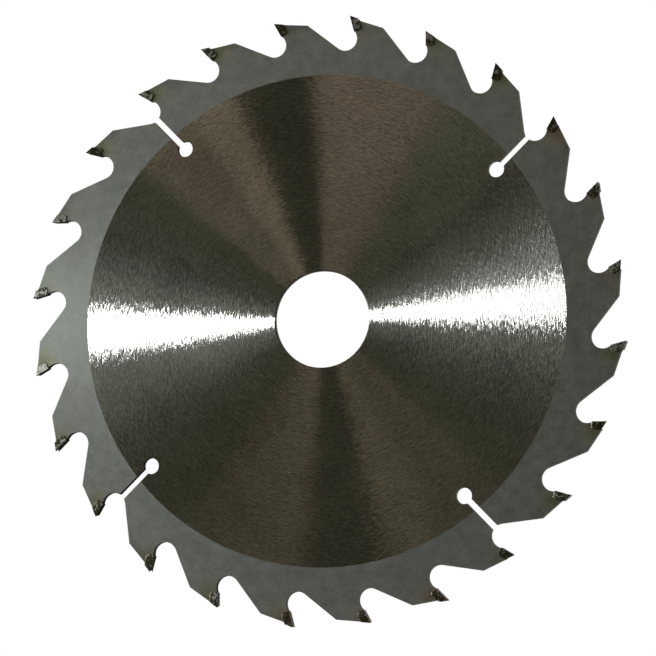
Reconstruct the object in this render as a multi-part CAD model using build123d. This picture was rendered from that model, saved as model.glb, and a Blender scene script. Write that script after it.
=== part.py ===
from build123d import *
import math
import os

# A carbide-tipped circular saw blade, in millimetres.
# It lies flat: +Z is the bore's axis, and the origin is the bore's centre on the plate's mid-plane.
# Seen from +Z the teeth point anticlockwise.

# Plate
blade_diameter = 190.0       # over the higher tips
bore_diameter = 30.0
bore_chamfer = 0.2
plate_thickness = 2.2

# Teeth
tooth_count = 24
first_tip_angle = 9.4        # degrees from +X to the first tip
hook_angle = 20.0            # lean of the rake face from the radius
clearance_angle = 14.0       # fall of the top behind the cutting edge
high_tip_rise = 0.5          # how much higher the hollow-topped tips stand
land_drop = 0.15             # how far the plate's land lies below the lower tips' top
land_length = 7.8            # from the tip seat back to the heel

# Carbide tips
tip_length = 4.6             # along the rake face, on the lower tips
tip_thickness = 2.3          # from the rake face back to the seat
tip_corner_radius = 0.6      # inner corner, where the tip's back meets its base
side_overhang = 0.4          # how far a tip stands out of each side of the plate
side_clearance_inward = 1.0  # degrees that the tip's sides close in towards the bore
side_clearance_back = 2.5    # degrees that they close in behind the cutting edge
bevel_angle = 10.0           # of the single bevel across the lower tips
hollow_depth = 0.7           # of the V across the higher tips

# Brazing layer
braze_gap = 0.2

# Gullets
tip_lead = 0.25              # how far the rake face stands ahead of the plate's own face
gullet_face_angle = 36.0     # lean of the plate's face under the tip
gullet_face_length = 0.3     # its straight run, from the seat to the round floor
gullet_radius = 3.7

# Expansion slots
slot_count = 4
first_slot_tooth = 2         # the slots start in the gullet in front of this tooth, counted from 0
slot_width = 2.0
slot_length = 13.3           # from the gullet's floor to the centre of the keyhole
slot_lean = 5.0              # degrees that the slot leans from the tooth's radius
keyhole_diameter = 5.0

# Sizes worked out from these
kerf_width = plate_thickness + 2 * side_overhang
high_tip_radius = blade_diameter / 2
low_tip_radius = high_tip_radius - high_tip_rise
tooth_pitch = 360 / tooth_count
bore_radius = bore_diameter / 2


def unit(degrees):
    """A direction in the plate's plane, by its angle from the tooth's radius."""
    return Vector(math.cos(math.radians(degrees)), math.sin(math.radians(degrees)))


# One tooth is drawn with its radius along +X and the next tooth on the +Y side.
cutting_point = Vector(low_tip_radius, 0)
rake_out = unit(hook_angle)
rake_back = unit(hook_angle - 90)
top_back = unit(-90 - clearance_angle)
top_out = unit(-clearance_angle)
face_out = unit(gullet_face_angle)
face_ahead = unit(gullet_face_angle + 90)

seat_depth = tip_length + braze_gap
seat_back = tip_thickness + braze_gap
seat_corner_radius = tip_corner_radius + braze_gap


def in_tooth(inward, backward):
    """A point by its distances inward along the rake face and back from it."""
    return cutting_point - rake_out * inward + rake_back * backward


def on_land(backward):
    """The point of the land's line that lies this far back from the rake face."""
    fall = math.radians(hook_angle + clearance_angle)
    return in_tooth(backward * math.tan(fall) + land_drop / math.cos(fall), backward)


def l_corner(depth, back, radius):
    """The start, middle and end of the round corner between a back wall and a floor."""
    centre = in_tooth(depth - radius, back - radius)
    middle = centre + (rake_back - rake_out).normalized() * radius
    return in_tooth(depth - radius, back), middle, in_tooth(depth, back - radius)


shoulder = on_land(seat_back)
heel = shoulder + top_back * land_length
face_top = in_tooth(seat_depth, tip_lead)
face_foot = face_top - face_out * gullet_face_length
gullet_centre = face_foot + face_ahead * gullet_radius


def tangent_from(point):
    """Where a line from this point touches the gullet's circle, on its inner side."""
    away = point - gullet_centre
    turn = math.degrees(math.acos(gullet_radius / away.length))
    return gullet_centre + away.normalized().rotate(Axis.Z, turn) * gullet_radius


def tooth_outline():
    """The plate's edge over one pitch, from this tooth's heel to the next one's."""
    seat_start, seat_middle, seat_end = l_corner(seat_depth, seat_back, seat_corner_radius)
    next_heel = heel.rotate(Axis.Z, tooth_pitch)
    slope_foot = tangent_from(next_heel)
    halfway = (face_foot + slope_foot) / 2 - gullet_centre
    gullet_floor = gullet_centre + halfway.normalized() * gullet_radius
    return [
        Line(heel, shoulder),
        Line(shoulder, seat_start),
        ThreePointArc(seat_start, seat_middle, seat_end),
        Line(seat_end, face_top),
        Line(face_top, face_foot),
        ThreePointArc(face_foot, gullet_floor, slope_foot),
        Line(slope_foot, next_heel),
    ]


def expansion_slot():
    """One slot, from the middle of a gullet down to its keyhole."""
    down = -unit(slot_lean)
    reach = gullet_radius + slot_length
    keyhole = gullet_centre + down * reach
    middle = gullet_centre + down * (reach / 2)
    return (Location(middle) * Rot(0, 0, slot_lean) * Rectangle(reach, slot_width)
            + Location(keyhole) * Circle(keyhole_diameter / 2))


def around(tooth):
    """The turn that brings the drawn tooth to its place on the blade."""
    return Rot(0, 0, first_tip_angle + tooth * tooth_pitch)


def saw_plate():
    edges = [around(tooth) * edge for tooth in range(tooth_count) for edge in tooth_outline()]
    outline = make_face(Wire(edges))
    slot_teeth = [first_slot_tooth + round(slot * tooth_count / slot_count) for slot in range(slot_count)]
    slots = [around(tooth) * expansion_slot() for tooth in slot_teeth]
    sheet = outline - Circle(bore_radius) - slots
    plate = extrude(sheet, plate_thickness / 2, both=True)
    rims = [edge for edge in plate.edges().filter_by(GeomType.CIRCLE)
            if abs(edge.radius - bore_radius) < bore_chamfer / 2]
    return chamfer(rims, bore_chamfer)


def tip_blank(rise):
    """A tip before its sides and top are ground, standing this much above the lower tips."""
    cutting_edge = in_tooth(-rise / math.cos(math.radians(hook_angle)), 0)
    corner_start, corner_middle, corner_end = l_corner(tip_length, tip_thickness, tip_corner_radius)
    fall = (cutting_edge - in_tooth(0, tip_thickness)).dot(top_out) / rake_out.dot(top_out)
    top_end = in_tooth(-fall, tip_thickness)
    side = make_face(Wire([
        Line(cutting_edge, top_end),
        Line(top_end, corner_start),
        ThreePointArc(corner_start, corner_middle, corner_end),
        Line(corner_end, in_tooth(tip_length, 0)),
        Line(in_tooth(tip_length, 0), cutting_edge),
    ]))
    return cutting_edge, extrude(side, kerf_width / 2, both=True)


def grind_sides(blank, cutting_edge):
    """Lean both sides in, away from the corners of the cutting edge."""
    inward = -rake_out * math.tan(math.radians(side_clearance_inward))
    backward = rake_back * math.tan(math.radians(side_clearance_back))
    for side in (1, -1):
        corner = cutting_edge + Vector(0, 0, side * kerf_width / 2)
        ground = Plane(origin=corner, z_dir=inward + backward + Vector(0, 0, side))
        blank = split(blank, bisect_by=ground, keep=Keep.BOTTOM)
    return blank


def top_cutter(cutting_edge, points):
    """A bar that runs back along the top, drawn by (across, up) points from the cutting edge."""
    section = Plane(origin=cutting_edge, x_dir=(0, 0, 1), z_dir=-top_back)
    return extrude(section * make_face(Polyline(*points, close=True)), 2 * tip_thickness, both=True)


def bevelled_tip():
    """A lower tip: its top falls from the +Z side to the -Z side."""
    cutting_edge, blank = tip_blank(0)
    fall = 2 * kerf_width * math.tan(math.radians(bevel_angle))
    high_side = kerf_width / 2
    low_side = high_side - 2 * kerf_width
    bevel = top_cutter(cutting_edge, [(high_side, 0), (low_side, -fall), (low_side, kerf_width)])
    return grind_sides(blank, cutting_edge) - bevel


def hollow_tip():
    """A higher tip: both sides of its top stand up, with a V between them."""
    cutting_edge, blank = tip_blank(high_tip_rise)
    half = kerf_width / 2
    hollow = top_cutter(cutting_edge, [(0, -hollow_depth), (2 * half, hollow_depth), (-2 * half, hollow_depth)])
    return grind_sides(blank, cutting_edge) - hollow


def braze_layer():
    """The alloy between a tip and its seat, open at the rake side and at the land."""
    tip_start, tip_middle, tip_end = l_corner(tip_length, tip_thickness, tip_corner_radius)
    seat_start, seat_middle, seat_end = l_corner(seat_depth, seat_back, seat_corner_radius)
    top = on_land(tip_thickness)
    front = in_tooth(tip_length, tip_lead)
    layer = make_face(Wire([
        Line(top, tip_start),
        ThreePointArc(tip_start, tip_middle, tip_end),
        Line(tip_end, front),
        Line(front, face_top),
        Line(face_top, seat_end),
        ThreePointArc(seat_end, seat_middle, seat_start),
        Line(seat_start, shoulder),
        Line(shoulder, top),
    ]))
    return extrude(layer, plate_thickness / 2, both=True)


os.makedirs("parts", exist_ok=True)
export_step(saw_plate(), "parts/saw_plate.step")

tip_shapes = [bevelled_tip(), hollow_tip()]
layer = braze_layer()
for tooth in range(tooth_count):
    place = around(tooth)
    export_step(place * tip_shapes[tooth % 2], f"parts/tooth_tip_{tooth + 1:02d}.step")
    export_step(place * layer, f"parts/braze_{tooth + 1:02d}.step")
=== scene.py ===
# %% [markdown]
# # Dressing a circular saw blade
#
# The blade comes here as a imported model: one steel plate, 24 carbide tips and the thin layer of braze
# behind each tip. Its sizes are right already, so nothing is moved. This lesson gives every surface the
# finish that its maker's machine left, lights the blade and points a camera at it.

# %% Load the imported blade
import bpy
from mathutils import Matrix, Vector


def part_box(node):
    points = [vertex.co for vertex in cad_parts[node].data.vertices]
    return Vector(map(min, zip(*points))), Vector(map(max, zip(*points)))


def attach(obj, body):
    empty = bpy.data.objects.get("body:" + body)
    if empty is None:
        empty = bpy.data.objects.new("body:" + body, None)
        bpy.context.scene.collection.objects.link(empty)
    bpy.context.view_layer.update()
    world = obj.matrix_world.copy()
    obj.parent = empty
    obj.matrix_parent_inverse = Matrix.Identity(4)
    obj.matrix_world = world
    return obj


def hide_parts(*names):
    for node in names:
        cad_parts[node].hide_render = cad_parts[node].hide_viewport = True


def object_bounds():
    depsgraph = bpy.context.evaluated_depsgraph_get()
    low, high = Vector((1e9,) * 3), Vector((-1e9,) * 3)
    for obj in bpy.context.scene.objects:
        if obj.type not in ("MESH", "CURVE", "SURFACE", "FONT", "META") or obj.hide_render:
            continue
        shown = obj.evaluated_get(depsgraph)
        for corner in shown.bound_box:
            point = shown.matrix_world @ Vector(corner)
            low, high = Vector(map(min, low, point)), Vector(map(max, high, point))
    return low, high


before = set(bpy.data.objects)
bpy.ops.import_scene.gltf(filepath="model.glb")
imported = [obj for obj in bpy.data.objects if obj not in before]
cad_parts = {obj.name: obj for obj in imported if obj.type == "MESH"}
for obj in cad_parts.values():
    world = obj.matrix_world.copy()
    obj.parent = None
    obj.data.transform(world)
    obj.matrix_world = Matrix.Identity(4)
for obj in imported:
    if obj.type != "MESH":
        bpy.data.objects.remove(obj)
cad_low, cad_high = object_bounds()
print("pieces:", len(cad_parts), " box in mm:", [round(1000 * side, 2) for side in cad_high - cad_low])

# %% [markdown]
# ## What the blade itself can tell us
#
# Most finishes follow the blade's shape: tints sit beside each tip, and grinding marks run round the
# bore. They could be placed by eye, but then they would miss if a size changed. So the script first reads
# from the model what a mesh tells easily. What is hard to read there, such as the angles of a tooth, or
# isn't in the model at all, such as how far the ground field reaches, is written down as a number.

# %% Sizes that the finishes follow
import math
import random

import bmesh
import bpy
from mathutils import Matrix, Vector

MM = 0.001                                   # the model is in metres, and the notes here are in millimetres
tip_names = sorted(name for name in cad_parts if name.startswith("tooth_tip_"))
tooth_count = len(tip_names)
pitch = 2 * math.pi / tooth_count
plate_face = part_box("saw_plate")[1].z / MM   # height of the plate's face over its mid-plane
tip_side = cad_high.z / MM                   # height of the tips' widest corners


def cutting_corner(tip_name):
    """The corner of a tip that stands furthest from the bore, as radius and bearing."""
    corners = [vertex.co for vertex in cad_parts[tip_name].data.vertices]
    far = max(corners, key=lambda corner: corner.xy.length)
    return far.xy.length / MM, math.atan2(far.y, far.x)


low_tip_radius, first_bearing = cutting_corner(tip_names[0])
high_tip_radius = cutting_corner(tip_names[1])[0]
print("teeth:", tooth_count, " tip radii:", round(low_tip_radius, 2), round(high_tip_radius, 2),
      " first tip at", round(math.degrees(first_bearing), 2), "degrees")

# %% [markdown]
# ## The camera
#
# The photograph looks almost straight down on the blade, from a little to the right and a little towards
# the bottom of the picture. That is what shows the thickness of the right-hand teeth and the wall of the
# bore. A camera could be dragged into place by hand, but two angles and a distance say the same thing more
# clearly, and they are easy to change. A long lens keeps the far teeth nearly as large as the near ones.

# %% Place the camera
lean_right = math.radians(15.0)
lean_front = math.radians(6.5)
camera_distance = 900 * MM
aim = Vector((1.7, -2.7, 0.0)) * MM          # a point near the bore, which the lens is centred on
film_width = 36                              # in millimetres, and so is the focal length
focal_length = 160.1

camera_data = bpy.data.cameras.new("camera")
camera_data.lens = focal_length
camera_data.sensor_width = film_width
camera = bpy.data.objects.new("camera", camera_data)
bpy.context.scene.collection.objects.link(camera)
toward_camera = Vector((math.tan(lean_right), -math.tan(lean_front), 1)).normalized()
camera.location = toward_camera * camera_distance
backward = (camera.location - aim).normalized()
rightward = Vector((0, 1, 0)).cross(backward).normalized()
upward = backward.cross(rightward)
camera.rotation_mode = "QUATERNION"
camera.rotation_quaternion = Matrix((rightward, upward, backward)).transposed().to_quaternion()
bpy.context.scene.camera = camera
print("camera at, in mm:", [round(c / MM) for c in camera.location])

# %% [markdown]
# ## Nodes and wires
#
# A procedural finish is a net of small nodes, such as "multiply" or "noise", joined by wires. A net can be
# drawn by hand in Blender's shader editor, but then a script can't build it again. So a small class makes
# the nodes and the wires. The finishes of the blade use it, and so does the light of the room.

# %% A net of nodes
class Net:
    """The nodes of a material or of the world."""

    def __init__(self, owner):
        owner.use_nodes = True
        self.tree = owner.node_tree
        self.tree.nodes.clear()

    def node(self, kind, **settings):
        made = self.tree.nodes.new("ShaderNode" + kind)
        for name, value in settings.items():
            setattr(made, name, value)
        return made

    def feed(self, socket, value):
        """Wires an output to a socket, or sets the socket to a plain value."""
        if isinstance(value, bpy.types.NodeSocket):
            self.tree.links.new(value, socket)
        else:
            socket.default_value = value

    def feed_all(self, made, values):
        for socket, value in zip(made.inputs, values):
            self.feed(socket, value)

    def either(self, share, first, second):
        """The first shader where the share is 0, the second where it is 1, and a blend between."""
        made = self.node("MixShader")
        self.feed_all(made, (share, first, second))
        return made.outputs[0]


# %% [markdown]
# ## A short way to write a finish
#
# Wiring each node by hand takes several lines and hides the idea. With one method for each kind of node, a
# finish reads like a recipe, and every method hands back the output that the next step needs. The methods
# below work out a number or a colour for each point of the blade.

# %% Numbers and colours
class Recipe(Net):
    """A net with a short word for each of its steps."""

    def math(self, operation, *values):
        made = self.node("Math", operation=operation)
        self.feed_all(made, values)
        return made.outputs[0]

    def total(self, *weighted):
        """The sum of some values, each given with its weight."""
        so_far = 0.0
        for value, weight in weighted:
            so_far = self.math("MULTIPLY_ADD", value, weight, so_far)
        return so_far

    def about_zero(self, value, width):
        """A value from 0 to 1, stretched to this width with its middle at zero."""
        return self.math("MULTIPLY_ADD", value, width, -width / 2)

    def vector(self, operation, *values):
        made = self.node("VectorMath", operation=operation)
        self.feed_all(made, values)
        return made.outputs["Value" if operation in ("LENGTH", "DOT_PRODUCT") else "Vector"]

    def point(self, x, y, z):
        made = self.node("CombineXYZ")
        self.feed_all(made, (x, y, z))
        return made.outputs[0]

    def parts(self, vector):
        """The X, Y and Z of a vector."""
        made = self.node("SeparateXYZ")
        self.feed(made.inputs[0], vector)
        return made.outputs

    def ramp(self, value, start, end, low=0.0, high=1.0):
        """Low at start, high at end, and a smooth rise between them. Start may be the larger of the two."""
        made = self.node("MapRange", interpolation_type="SMOOTHSTEP")
        for name, number in (("Value", value), ("From Min", start), ("From Max", end),
                             ("To Min", low), ("To Max", high)):
            self.feed(made.inputs[name], number)
        return made.outputs["Result"]

    def noise(self, where, size=1.0, detail=3.0, roughness=0.55, draw=0.0):
        """Noise from 0 to 1, with lumps about this many units across. Each draw is a pattern of its own."""
        made = self.node("TexNoise", noise_dimensions="4D")
        self.feed(made.inputs["Vector"], where)
        made.inputs["W"].default_value = draw
        made.inputs["Scale"].default_value = 1 / size
        made.inputs["Detail"].default_value = detail
        made.inputs["Roughness"].default_value = roughness
        return made.outputs["Fac"]

    def mix(self, share, low, high):
        """A colour that goes from low to high."""
        made = self.node("Mix", data_type="RGBA")
        self.feed(made.inputs["Factor"], share)
        self.feed(made.inputs["A"], low)
        self.feed(made.inputs["B"], high)
        return made.outputs["Result"]


# %% [markdown]
# ## Bare and scratched metal
#
# Every surface of the blade is a metal of some kind, which needs little more than a colour and a roughness.
# Ground metal throws light in a narrow band, though. One bright stripe could be painted on it, but it
# wouldn't move with the light. Blender has a shader for such metal, which wants one roughness and how far
# it is stretched. It is easier to think of how widely light spreads along a scratch and across it, so the
# method takes those two and works out the rest.

# %% Surfaces
class Finish(Recipe):
    """A material under construction."""

    def __init__(self, name):
        self.material = bpy.data.materials.new(name)
        super().__init__(self.material)

    def bump(self, height, depth):
        """A normal for relief this many millimetres deep."""
        made = self.node("Bump")
        made.inputs["Strength"].default_value = 1.0
        made.inputs["Distance"].default_value = depth * MM
        self.feed(made.inputs["Height"], height)
        return made.outputs[0]

    def metal(self, colour, roughness, normal):
        """A bare metal surface."""
        made = self.node("BsdfPrincipled")
        made.inputs["Metallic"].default_value = 1.0
        self.feed(made.inputs["Base Color"], colour)
        self.feed(made.inputs["Roughness"], roughness)
        self.feed(made.inputs["Normal"], normal)
        return made.outputs[0]

    def scratched_metal(self, colour, along, across, turn, normal):
        """Bare metal with scratches in circles, which spread light this far along and across themselves."""
        made = self.node("BsdfAnisotropic", distribution="BECKMANN")
        made.inputs["Roughness"].default_value = (along * across) ** 0.25
        made.inputs["Anisotropy"].default_value = math.sqrt(along / across) - 1
        self.feed(made.inputs["Color"], colour)
        self.feed(made.inputs["Rotation"], turn)
        self.feed(made.inputs["Tangent"], self.node("Tangent", direction_type="RADIAL", axis="Z").outputs[0])
        self.feed(made.inputs["Normal"], normal)
        return made.outputs[0]

    def glow(self, strength):
        made = self.node("Emission")
        self.feed(made.inputs["Strength"], strength)
        return made.outputs[0]

    def finished(self, surface):
        self.feed(self.node("OutputMaterial").inputs["Surface"], surface)
        print("finish made:", self.material.name, " nodes:", len(self.tree.nodes))
        return self.material


# %% [markdown]
# ## Where a point lies on the blade
#
# Marks on a turned or ground part follow circles, so x and y are the wrong words for them. The finishes
# ask instead for the distance from the bore's axis and the bearing round it. A texture image wrapped
# round the blade could do that too, but it would have a seam and a fixed sharpness.

# %% Place, radius and bearing
def place_in_mm(finish):
    """The point on the blade, in millimetres from the middle of the bore."""
    place = finish.vector("SCALE", finish.node("TexCoord").outputs["Object"])
    place.node.inputs["Scale"].default_value = 1 / MM
    return place


def round_the_bore(finish, place):
    """The point's distance from the bore's axis and its bearing round it."""
    x, y = finish.parts(place)[:2]
    return finish.vector("LENGTH", finish.point(x, y, 0.0)), finish.math("ARCTAN2", y, x)


def along_the_circles(finish, place, radius, length, width):
    """A place for noise whose lumps follow the circles round the bore, of this length and width."""
    stretched = finish.vector("MULTIPLY", place, (1 / length, 1 / length, 0.0))
    return finish.vector("ADD", stretched, finish.point(0.0, 0.0, finish.math("DIVIDE", radius, width)))


# %% [markdown]
# ## Where a point lies on its tooth
#
# All 24 teeth carry the same kind of heat mark beside the tip. Instead of placing 24 marks, the bearing
# is folded into one tooth pitch, as a paper snowflake is folded before it is cut. Each tooth also gets
# its number, so that a random value, its luck, can make one mark stronger than the next.

# %% Fold the blade into one tooth
hook = math.radians(20.0)                    # lean of the rake face from the tooth's radius
fold_ahead = math.radians(2.5)               # how far in front of the tip one tooth's share begins


def tooth_place(finish, radius, bearing):
    """The tooth's number, and the distances inward along its rake face and back from it."""
    turn = finish.math("SUBTRACT", bearing, first_bearing)
    number = finish.math("CEIL", finish.math("DIVIDE", finish.math("SUBTRACT", turn, fold_ahead), pitch))
    own_turn = finish.math("SUBTRACT", turn, finish.math("MULTIPLY", number, pitch))
    outward = finish.math("SUBTRACT", finish.math("MULTIPLY", radius, finish.math("COSINE", own_turn)),
                          low_tip_radius)
    ahead = finish.math("MULTIPLY", radius, finish.math("SINE", own_turn))
    inward = finish.total((outward, -math.cos(hook)), (ahead, -math.sin(hook)))
    back = finish.total((outward, math.sin(hook)), (ahead, -math.cos(hook)))
    return finish.math("WRAP", number, tooth_count, 0), inward, back


def luck(finish, number, draw):
    """A random value from 0 to 1 that is the same all over one tooth."""
    made = finish.node("TexWhiteNoise", noise_dimensions="2D")
    finish.feed(made.inputs["Vector"], finish.point(number, draw, 0.0))
    return made.outputs["Value"]


# %% [markdown]
# ## Scratches from handling
#
# A blade that has been stacked and carried has faint straight scratches. They could be modelled as thin
# grooves, but they are too fine to be seen as shapes. A noise that is stretched a long way in one
# direction leaves just such strokes where only its peaks are kept.

# %% Straight scratches
scratch_length, scratch_width = 30.0, 0.6
scratch_levels = (0.66, 0.76)                # heights of the noise where a scratch starts and is full


def stray_scratches(finish, place, direction, draw):
    """Faint straight scratches that run in this direction, given in degrees."""
    run, rise = math.cos(math.radians(direction)), math.sin(math.radians(direction))
    along = finish.vector("DOT_PRODUCT", place, (run / scratch_length, rise / scratch_length, 0.0))
    across = finish.vector("DOT_PRODUCT", place, (-rise / scratch_width, run / scratch_width, 0.0))
    strokes = finish.noise(finish.point(along, across, 0.0), detail=1.0, draw=draw)
    return finish.ramp(strokes, *scratch_levels)


# %% [markdown]
# ## The ground field
#
# Both faces of the plate are ground on a turning table, so the stone leaves thousands of fine scratches
# in circles round the bore. Such scratches throw light sideways only, and that makes the two bright fans
# at nine and three o'clock. The fans could be painted on, but then they would stay put when the blade is
# seen from elsewhere. An anisotropic metal makes them from the lights, and the kind whose gleam falls off
# steeply keeps their edges crisp. No grinder cuts perfect circles, so each streak's direction wanders a
# little, which frays those edges. The scratches from handling and a few pale specks lie over all that.

# %% Finish of the ground field
ground_steel = (0.62, 0.605, 0.56, 1)
ground_steel_dark = (0.33, 0.32, 0.293, 1)
pale_speck = (0.95, 0.95, 0.92, 1)
streak_length, streak_width, streak_depth = 2.0, 0.28, 0.07
polish_length, polish_width = 1.3, 0.26
pit_size, cloud_size, speck_size = 0.45, 22, 0.9
field_levels = (0.85, 1.20)                  # tones at which the steel is darkest and palest
speck_levels = (0.84, 0.88)                  # heights of the noise where a speck starts and is full
gleam_along, gleam_across = 0.019, 0.45      # how widely the scratches spread light
crosswise = 0.25                             # the turn that lays the gleam across the circles
wander = 0.026                               # range of a streak's direction, in turns as well


def ground_field(finish, place, radius):
    streaks = along_the_circles(finish, place, radius, streak_length, streak_width)
    depth = finish.noise(streaks, detail=0.5, draw=1.0)
    lay = finish.noise(streaks, detail=0.5, draw=2.0)
    polish = finish.noise(along_the_circles(finish, place, radius, polish_length, polish_width),
                          detail=2.0, draw=3.0)
    pits = finish.noise(place, size=pit_size, detail=2.0)
    clouds = finish.noise(place, size=cloud_size, detail=2.0)
    tone = finish.total((depth, 0.4), (lay, 0.4), (polish, 0.4), (pits, 0.5), (clouds, 0.35),
                        (stray_scratches(finish, place, 38.0, draw=5.0), 0.16),
                        (stray_scratches(finish, place, -64.0, draw=6.0), 0.16))
    colour = finish.mix(finish.ramp(tone, *field_levels), ground_steel_dark, ground_steel)
    specks = finish.ramp(finish.noise(place, size=speck_size, detail=0.0, draw=7.0), *speck_levels)
    colour = finish.mix(specks, colour, pale_speck)
    turn = finish.math("ADD", finish.about_zero(lay, wander), crosswise)
    relief = finish.bump(depth, streak_depth)
    return finish.scratched_metal(colour, gleam_along, gleam_across, turn, relief)


# %% [markdown]
# ## Heat marks beside the tips
#
# To braze a tip on, its seat is made red hot. That tints the steel beside it brown or olive, blackens it
# right next to the tip, and on some teeth leaves a grey band along the top. Each mark could be painted by
# hand. Instead a colour is laid on by distance, from the tip for the tint and from the tooth's top for the
# band, and a noise is added to that distance to make the edges uneven. The tooth's luck decides how strong
# each mark is.

# %% Lay on the heat marks
heat_olive = (0.298, 0.304, 0.182, 1)
heat_brown = (0.350, 0.296, 0.195, 1)
heat_black = (0.063, 0.063, 0.037, 1)
heat_grey = (0.167, 0.165, 0.148, 1)
clearance = math.radians(14.0)               # fall of a tooth's top behind its cutting edge
how_much_tint, which_tint, how_much_band = 575.5, 238.0, 810.0    # draws that give each tooth its luck
brown_from = (0.55, 0.75)                    # luck at which the tint turns from olive to brown
hottest_inward, hottest_back = 2.8, 2.2      # place of the hottest point, on the tip
patch_size, patch_reach = 1.8, 4.0           # unevenness of the marks' edges
tint_fades = (7.5, 2.0)                      # distances where a mark is gone and where it is full
black_fades = (4.6, 1.4)
band_fades_below = (3.4, 0.4)
band_fades_back = (13.0, 7.0)


def heat_marks(finish, place, radius, bearing, colour):
    """Lays the marks that brazing left on the steel beside a tip over its own colour."""
    number, inward, back = tooth_place(finish, radius, bearing)
    patches = finish.about_zero(finish.noise(place, size=patch_size, detail=4.0), patch_reach)
    below_top = finish.total((inward, math.cos(hook + clearance)), (back, -math.sin(hook + clearance)),
                             (patches, 0.6))
    band = finish.math("MULTIPLY", finish.ramp(below_top, *band_fades_below),
                       finish.ramp(back, *band_fades_back))
    band_luck = finish.ramp(luck(finish, number, how_much_band), 0.55, 1.0, 0.0, 0.7)
    colour = finish.mix(finish.math("MULTIPLY", band, band_luck), colour, heat_grey)

    away = finish.vector("LENGTH", finish.point(finish.math("SUBTRACT", inward, hottest_inward),
                                                finish.math("SUBTRACT", back, hottest_back), 0.0))
    away = finish.math("ADD", away, patches)
    tint_luck = finish.ramp(luck(finish, number, how_much_tint), 0.1, 0.9, 0.15, 0.85)
    tint = finish.mix(finish.ramp(luck(finish, number, which_tint), *brown_from), heat_olive, heat_brown)
    colour = finish.mix(finish.math("MULTIPLY", finish.ramp(away, *tint_fades), tint_luck), colour, tint)
    black = finish.math("MULTIPLY", finish.ramp(away, *black_fades, 0.0, 0.35), tint_luck)
    return finish.mix(black, colour, heat_black)


# %% [markdown]
# ## The blasted rim
#
# After the tips are brazed on, the rim is blasted with grit to clean off scale. That leaves an even,
# matt, slightly green grey. A picture of such steel could be stretched over it, but it would blur in a
# close view. Three sizes of noise on a dull metal give the same grain at any distance: the dents of the
# grit, the grain between them, and a faint mottling of the whole rim.

# %% Finish of the blasted rim
blasted_steel = (0.334, 0.341, 0.312, 1)
blasted_steel_dark = (0.258, 0.264, 0.239, 1)
grit_size, grain_size, mottle_size = 0.22, 0.6, 3.5
grit_depth = 0.02
rim_levels = (0.36, 0.64)                    # tones at which the rim is darkest and palest
rim_roughness = (0.44, 0.50)                 # at those two tones


def blasted_rim(finish, place, radius, bearing):
    grit = finish.noise(place, size=grit_size, detail=3.0, roughness=0.7)
    grain = finish.noise(place, size=grain_size, detail=2.0, draw=4.0)
    mottle = finish.noise(place, size=mottle_size, detail=4.0)
    tone = finish.total((grit, 0.3), (grain, 0.35), (mottle, 0.35))
    colour = finish.mix(finish.ramp(tone, *rim_levels), blasted_steel_dark, blasted_steel)
    colour = heat_marks(finish, place, radius, bearing, colour)
    roughness = finish.ramp(tone, *rim_levels, *rim_roughness)
    return finish.metal(colour, roughness, finish.bump(grit, grit_depth))


# %% [markdown]
# ## The cut edge
#
# The outline, the gullets, the slots and the bore are cut through the sheet. A cut leaves fine lines
# that run straight across the thickness. Each wall could be given a mapping of its own, but stretching one
# noise along the thickness draws those lines on every wall at once, whichever way the wall faces.

# %% Finish of the cut edge
cut_steel = (0.24, 0.232, 0.205, 1)
cut_steel_dark = (0.10, 0.096, 0.085, 1)
cut_line_width, cut_line_depth = 0.16, 0.02
cut_line_change = 0.06                       # change through the thickness, as a share of that along a wall
cut_levels = (0.35, 0.65)                    # heights of the noise where the cut is darkest and palest
cut_roughness = (0.50, 0.38)                 # at those two heights


def cut_edge(finish, place):
    stretched = finish.vector("MULTIPLY", place, (1.0, 1.0, cut_line_change))
    lines = finish.noise(stretched, size=cut_line_width, detail=3.0, roughness=0.6)
    colour = finish.mix(finish.ramp(lines, *cut_levels), cut_steel_dark, cut_steel)
    roughness = finish.ramp(lines, *cut_levels, *cut_roughness)
    return finish.metal(colour, roughness, finish.bump(lines, cut_line_depth))


# %% [markdown]
# ## One finish for the whole plate
#
# The plate is one piece of steel, so its three surfaces share one material. The wall of a cut is told
# from a face by which way it looks, and the ground field from the rim by the distance from the bore.
# Cutting the mesh along that circle would work as well, but the model's mesh is kept as it is.

# %% Put the plate's finish together
field_radius = 76.35                         # where the blasted rim begins
border_blur = 0.12                           # how far one finish fades into the other on each side
border_raggedness = 0.16
face_share = 0.9                             # a surface that looks up or down by more than this is a face


def plate_finish():
    finish = Finish("plate_steel")
    place = place_in_mm(finish)
    radius, bearing = round_the_bore(finish, place)
    ragged = finish.about_zero(finish.noise(place, size=0.5), border_raggedness)
    on_rim = finish.ramp(finish.math("ADD", radius, ragged),
                         field_radius - border_blur, field_radius + border_blur)
    faces = finish.either(on_rim, ground_field(finish, place, radius),
                          blasted_rim(finish, place, radius, bearing))
    upward_share = finish.parts(finish.node("TexCoord").outputs["Normal"])["Z"]
    on_face = finish.math("GREATER_THAN", finish.math("ABSOLUTE", upward_share), face_share)
    return finish.finished(finish.either(on_face, cut_edge(finish, place), faces))


def give(node_name, material):
    """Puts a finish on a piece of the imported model."""
    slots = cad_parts[node_name].material_slots
    for slot in slots:
        slot.material = material
    return len(slots)


print("slots given the plate's finish:", give("saw_plate", plate_finish()))

# %% [markdown]
# ## The carbide tips
#
# The tips are sintered tungsten carbide, ground to a fine-lined grey on a diamond wheel. Smoke and flux
# from the brazing then stain most of their sides dark, olive on some teeth and brown on others, while a
# few stay nearly clean. One even stain would make all tips look alike, so a cloudy noise lays it on and
# each tooth's luck decides how much. Crumbs of flux gather towards the inner end of the tip.

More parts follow.
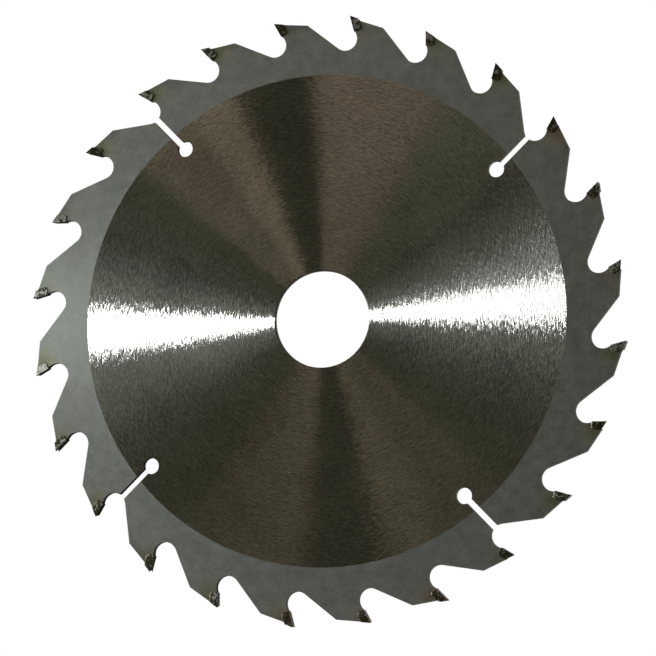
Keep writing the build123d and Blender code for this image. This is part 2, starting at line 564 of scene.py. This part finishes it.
# %% Finish of the carbide
carbide_grey = (0.62, 0.615, 0.57, 1)
carbide_dark = (0.34, 0.335, 0.305, 1)
stain_green = (0.130, 0.140, 0.085, 1)
stain_brown = (0.170, 0.118, 0.068, 1)
flux_tan = (0.34, 0.30, 0.21, 1)
how_clean = 773.0                            # the draw that leaves some tips cleaner than others
lines_along, lines_across = 0.15, 3.0        # grinding lines to a millimetre along the tip and across it
smoke_size, crumb_size = 0.9, 0.32
dirtiest, cleanest = 0.11, -0.04             # what the tooth's luck adds to the smoke
stain_levels, crumb_levels = (0.42, 0.58), (0.68, 0.78)
crumbs_gather = (2.5, 7.0)                   # where crumbs start to gather and where they lie thickest
gathered = 0.17                              # what that adds to them
clean_roughness, stained_roughness, crumb_roughness = 0.42, 0.26, 0.2
carbide_relief = 0.015


def carbide_finish():
    finish = Finish("carbide")
    place = place_in_mm(finish)
    height = finish.parts(place)["Z"]
    number, inward, back = tooth_place(finish, *round_the_bore(finish, place))
    lines = finish.noise(finish.point(finish.math("MULTIPLY", inward, lines_along),
                                      finish.math("MULTIPLY", back, lines_across),
                                      finish.math("MULTIPLY", height, lines_across)), detail=3.0)
    colour = finish.mix(finish.ramp(lines, 0.35, 0.65), carbide_dark, carbide_grey)
    dirt = finish.ramp(luck(finish, number, how_clean), 0.0, 1.0, dirtiest, cleanest)
    smoke = finish.math("ADD", finish.noise(place, size=smoke_size, detail=3.0), dirt)
    stain = finish.mix(finish.ramp(luck(finish, number, which_tint), *brown_from), stain_green, stain_brown)
    stained = finish.ramp(smoke, *stain_levels)
    near_seat = finish.ramp(finish.math("ADD", inward, back), *crumbs_gather, 0.0, gathered)
    crumbs = finish.math("ADD", finish.noise(place, size=crumb_size, detail=2.0), near_seat)
    crumbs = finish.ramp(crumbs, *crumb_levels)
    colour = finish.mix(crumbs, finish.mix(stained, colour, stain), flux_tan)
    roughness = finish.ramp(stained, 0.0, 1.0, clean_roughness, stained_roughness)
    roughness = finish.math("MULTIPLY_ADD", crumbs, crumb_roughness, roughness)
    relief = finish.total((lines, 0.3), (crumbs, 1.0))
    return finish.finished(finish.metal(colour, roughness, finish.bump(relief, carbide_relief)))


carbide = carbide_finish()
for name in tip_names:
    give(name, carbide)
print("tips given the carbide finish:", len(tip_names))

# %% [markdown]
# ## The braze
#
# Braze flows into the gap behind and under each tip. The tip is wider than the plate, so the alloy also
# draws up into the step on both sides and sets there as a small hollow fillet, which shows as a thin
# gold line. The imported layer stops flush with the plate, so each one is replaced by a modelled bead: an
# L-shaped path is followed by a section with the two fillets on it, and its width varies along the way,
# as solder does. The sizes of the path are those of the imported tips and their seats.

# %% The path of a bead
tip_length = 4.6
tip_thickness = 2.3
corner_radius = 0.6
tip_lead = 0.25                              # how far the rake face stands ahead of the plate
land_drop = 0.15                             # how far the plate's top lies below the tip's
rake_out = Vector((math.cos(hook), math.sin(hook)))
rake_back = Vector((math.sin(hook), -math.cos(hook)))


def on_tooth(inward, back):
    """A point of the first tooth's drawing, where the tooth's radius lies along +X."""
    return Vector((low_tip_radius, 0)) - rake_out * inward + rake_back * back


def bead_path(corner_steps=10, back_steps=14, base_steps=10):
    """Points along the tip's back and base: inward, back, and how far the path has turned there."""
    land = tip_thickness * math.tan(hook + clearance) + land_drop / math.cos(hook + clearance)
    corner_inward, corner_back = tip_length - corner_radius, tip_thickness - corner_radius
    path = []
    for step in range(back_steps):
        path.append((land + (corner_inward - land) * step / back_steps, tip_thickness, 0.0))
    for step in range(corner_steps):
        turn = math.pi / 2 * step / corner_steps
        path.append((corner_inward + corner_radius * math.sin(turn),
                     corner_back + corner_radius * math.cos(turn), turn))
    for step in range(base_steps + 1):
        path.append((tip_length, corner_back + (tip_lead - corner_back) * step / base_steps, math.pi / 2))
    return path


print("points along a bead:", len(bead_path()))

# %% [markdown]
# ## The section of a bead
#
# Molten braze pulls itself into a hollow curve between the side of the tip and the face of the plate. A
# straight bevel would be simpler, but it wouldn't catch the light as a hollow does. The upper half is drawn
# and then mirrored. Where the bead meets the tip and the plate it is let in by a hair, because two surfaces
# in exactly the same place flicker in a render. The fillet keeps below the side of the tip, which closes in
# a little behind the cutting edge.

# %% Half of a section, and its mirror image
braze_gap = 0.2
let_in = 0.01
usual_climb, climb_varies = 0.55, 0.25       # share of the step's height that the fillet climbs
usual_spread, spread_varies = 0.09, 0.06     # how far it spreads over the plate
side_clearance_back = math.radians(2.5)
side_clearance_inward = math.radians(1.0)


def bead_outline(inward, back, swell, fillet_steps=5):
    """The bead's outline at a point of its path, as (distance from the tip, height over the mid-plane)."""
    side_here = tip_side - back * math.tan(side_clearance_back) - inward * math.tan(side_clearance_inward)
    climb = (side_here - plate_face) * (usual_climb + climb_varies * swell)
    reach = braze_gap + usual_spread + spread_varies * swell
    half = [(0.0, plate_face + climb)]
    for step in range(1, fillet_steps):
        turn = math.pi / 2 * step / fillet_steps
        half.append((reach * (1 - math.cos(turn)), plate_face + climb * (1 - math.sin(turn))))
    half += [(reach, plate_face - let_in / 2), (braze_gap, plate_face - let_in)]
    return half + [(away, -height) for away, height in reversed(half)]


print("points in a section:", len(bead_outline(0.0, 0.0, 0.0)))

# %% [markdown]
# ## How a bead swells
#
# Braze never sets evenly: it stands fuller in one place and thinner in the next. A random size at each step
# would look like gravel. The sum of three slow waves is uneven and still smooth. The random numbers start
# from the tooth's number, so every bead differs, but each run gives the same ones.

# %% Three waves
first_seed = 100
wave_pace = 0.45


def bead_swell(tooth, steps):
    """How much the bead swells at each step of its path, from -1 to 1."""
    chance = random.Random(first_seed + tooth)
    waves = [(chance.uniform(0.6, 1.0), chance.uniform(0, 6.3)) for wave in range(3)]
    return [sum(math.sin(step * wave_pace * pace * (wave + 1) + start)
                for wave, (pace, start) in enumerate(waves)) / len(waves)
            for step in range(steps)]


print("swell along the first bead:", [round(swell, 2) for swell in bead_swell(0, len(bead_path()))[::8]])

# %% [markdown]
# ## The mesh of a bead
#
# A bead is drawn on the first tooth and turned to its own. A curve with a bevel could carry the section
# along the path too, but it can't change the section's shape on the way. So each section is laid down as a
# ring of points, and the rings are joined face by face.

# %% Join the rings
def bead_mesh(tooth):
    path = bead_path()
    shape = bmesh.new()
    rings = []
    for (inward, back, turn), swell in zip(path, bead_swell(tooth, len(path))):
        steel = rake_back * math.cos(turn) - rake_out * math.sin(turn)
        start = on_tooth(inward, back) - steel * let_in
        rings.append([shape.verts.new((*(start + steel * away), height))
                      for away, height in bead_outline(inward, back, swell)])
    for first, second in zip(rings, rings[1:]):
        for corner in range(len(first)):
            following = (corner + 1) % len(first)
            shape.faces.new((first[corner], first[following], second[following], second[corner]))
    shape.faces.new(rings[0])
    shape.faces.new(rings[-1][::-1])
    bmesh.ops.recalc_face_normals(shape, faces=shape.faces)
    shape.transform(Matrix.Scale(MM, 4) @ Matrix.Rotation(first_bearing + tooth * pitch, 4, "Z"))
    mesh = bpy.data.meshes.new(f"braze_bead_{tooth + 1:02d}")
    shape.to_mesh(mesh)
    shape.free()
    for face in mesh.polygons:
        face.use_smooth = len(face.vertices) == 4
    return mesh


# %% [markdown]
# ## The look of the braze
#
# Braze sets to a soft gold where it ran clean, and to a dull brown skin where flux has burnt on it. The
# gold shows mostly at the inner corner of the tip, and on some teeth hardly at all. Gold patches could be
# painted bead by bead, but a product of three shares does it for all of them: a cloudy noise, the distance
# inward along the tip, and the tooth's luck. Gold appears only where all three allow it.

# %% Finish of the braze
how_much_gold = 209.5                        # the draw that leaves some beads bright
braze_gold = (0.27, 0.215, 0.140, 1)
braze_dull = (0.062, 0.058, 0.034, 1)
skin_size, skin_depth = 0.6, 0.03
gold_levels = (0.40, 0.64)                   # heights of the noise where gold starts and is full
gold_begins = (2.4, 4.2)                     # distances inward between which the gold comes in


def braze_finish():
    finish = Finish("braze_alloy")
    place = place_in_mm(finish)
    number, inward, back = tooth_place(finish, *round_the_bore(finish, place))
    skin = finish.noise(place, size=skin_size, detail=4.0)
    gold_luck = finish.ramp(luck(finish, number, how_much_gold), 0.25, 0.85, 0.05, 1.0)
    gold = finish.math("MULTIPLY", finish.ramp(skin, *gold_levels), gold_luck)
    gold = finish.math("MULTIPLY", gold, finish.ramp(inward, *gold_begins, 0.2, 1.0))
    colour = finish.mix(gold, braze_dull, braze_gold)
    roughness = finish.ramp(skin, 0.3, 0.7, 0.62, 0.48)
    return finish.finished(finish.metal(colour, roughness, finish.bump(skin, skin_depth)))


# %% [markdown]
# ## Beads in place of the layers
#
# On the real blade each tooth is brazed by itself. All beads could be one mesh, but as 24 pieces they can
# be picked and changed one by one.

# %% Put the beads in place
braze = braze_finish()
for tooth in range(tooth_count):
    bead = bpy.data.objects.new(f"braze_bead_{tooth + 1:02d}", bead_mesh(tooth))
    bpy.context.scene.collection.objects.link(bead)
    bead.data.materials.append(braze)
    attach(bead, "root")
    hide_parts(f"braze_{tooth + 1:02d}")
print("beads:", tooth_count, " faces in each:", len(bead.data.polygons))

# %% [markdown]
# ## The floor
#
# The photograph's background is pure white and has no shadow, as on a light table, yet the cut walls are
# dark on the left and only mid grey on the right. Seen from above, an upright wall mirrors the table
# beside it, so a table that is white for the camera would make every wall white too. Two sheets share
# the work: a glowing one that only the camera sees, and a dim one, darker to the left, that only the
# steel sees. The white sheet is clear from below, so that the blade's underside can be looked at.

# %% Lay the floor
floor_size = 3.0                             # in metres
floor_gap = 0.02                             # between the lowest corners of the tips and the floor
floor_white = 1.0
table_dim, table_bright = 0.025, 0.38
table_dim_at, table_bright_at = -80.0, 40.0  # where the table's glow starts and stops rising, along X


def sheet(name, material):
    """A flat sheet just under the tips, which is no part of the blade."""
    bpy.ops.mesh.primitive_plane_add(size=floor_size, location=(0, 0, cad_low.z - floor_gap * MM))
    laid = bpy.context.object
    laid.name = name
    laid.data.materials.append(material)
    laid.visible_shadow = False
    return laid


def white_finish():
    finish = Finish("white_floor")
    from_below = finish.node("NewGeometry").outputs["Backfacing"]
    clear = finish.node("BsdfTransparent").outputs[0]
    return finish.finished(finish.either(from_below, finish.glow(floor_white), clear))


def table_finish():
    finish = Finish("light_table")
    across = finish.parts(place_in_mm(finish))["X"]
    strength = finish.ramp(across, table_dim_at, table_bright_at, table_dim, table_bright)
    return finish.finished(finish.glow(strength))


floor = sheet("floor", white_finish())
floor.visible_glossy = False
floor.visible_diffuse = False
light_table = sheet("light_table", table_finish())
light_table.visible_camera = False
print("floor at height", round(floor.location.z / MM, 3), "mm")

# %% [markdown]
# ## The light
#
# Steel shows what stands round it. A narrow soft box on the left makes the two white fans, because the
# circular scratches mirror it only where they run across its direction. One wide lamp could not: it would
# light most of the field alike. Two large, weak panels above the soft box make the fans fade out softly,
# and a small lamp just beyond the left edge brightens the rim there. Five tinted cards beyond the blade
# give the brown and olive parts of the field, and the gap between two of them stays as the dark wedges
# above and below the bore.

# %% Soft boxes
lamp_distance, card_distance = 1.60, 0.42    # in metres, as are the sizes of the lamps
card_lift, card_height = 22, 0.18


def soft_box(name, bearing, lift, distance, size, colour, power):
    """An area lamp that faces the bore from this bearing and this lift over the floor, in degrees."""
    data = bpy.data.lights.new(name, "AREA")
    data.shape = "RECTANGLE"
    data.size, data.size_y = size
    data.energy = power
    data.color = colour
    lamp = bpy.data.objects.new(name, data)
    bpy.context.scene.collection.objects.link(lamp)
    around, up = math.radians(bearing), math.radians(lift)
    outward = Vector((math.cos(around) * math.cos(up), math.sin(around) * math.cos(up), math.sin(up)))
    lamp.location = outward * distance
    lamp.rotation_mode = "QUATERNION"
    lamp.rotation_quaternion = (-lamp.location).to_track_quat("-Z", "Y")
    lamp.visible_camera = False


def card(name, bearing, width, colour, power):
    """A tinted card beyond the blade, which is a weak lamp."""
    soft_box(name, bearing, card_lift, card_distance, (width, card_height), colour, power)


soft_box("left_strip", 175.2, 12, lamp_distance, (0.196, 0.45), (0.93, 0.94, 1), 41)
soft_box("left_panel", 174.0, 36, lamp_distance, (0.42, 1.30), (0.90, 1, 0.92), 0.80)
soft_box("left_wall", 173.8, 36, lamp_distance, (0.70, 1.30), (0.88, 0.98, 1), 0.70)
soft_box("left_near", 174.9, 37.3, 0.148, (0.010, 0.032), (0.90, 0.97, 1), 0.0112)
card("card_right_low", 63.0, 0.180, (0.97, 1, 0.74), 0.0655)
card("card_right", 90.8, 0.196, (1, 0.76, 0.61), 0.1540)
card("card_left", 126.5, 0.060, (1, 0.79, 0.60), 0.0423)
card("card_left_mid", 137.2, 0.092, (1, 0.82, 0.62), 0.0400)
card("card_left_low", 150.0, 0.087, (0.88, 1, 0.76), 0.0100)

# %% [markdown]
# ## The room
#
# Where no lamp stands, steel mirrors the room, and it would look black if there were none. Real walls
# would do, but they would hide the blade from anyone who looks at it from outside. So the world itself
# glows: dimly and warmly for the steel, and pure white for the camera, like the floor. The picture is
# shown as it was worked out, without a film's curve, so that this white stays white.

# %% Make the world glow
room_colour, room_glow = (1, 0.98, 0.66, 1), 0.0525          # what the steel sees where no lamp stands
backdrop_colour, backdrop_glow = (1, 1, 1, 1), 1.0           # what the camera sees beyond the floor
world = bpy.data.worlds.new("studio")
room = Net(world)


def room_light(colour, strength):
    made = room.node("Background")
    made.inputs["Color"].default_value = colour
    made.inputs["Strength"].default_value = strength
    return made.outputs[0]


seen_by_camera = room.node("LightPath").outputs["Is Camera Ray"]
light = room.either(seen_by_camera, room_light(room_colour, room_glow),
                    room_light(backdrop_colour, backdrop_glow))
room.feed(room.node("OutputWorld").inputs["Surface"], light)
bpy.context.scene.world = world
bpy.context.scene.view_settings.view_transform = "Standard"
bpy.context.scene.view_settings.look = "None"
print("world:", world.name, " nodes:", len(room.tree.nodes))
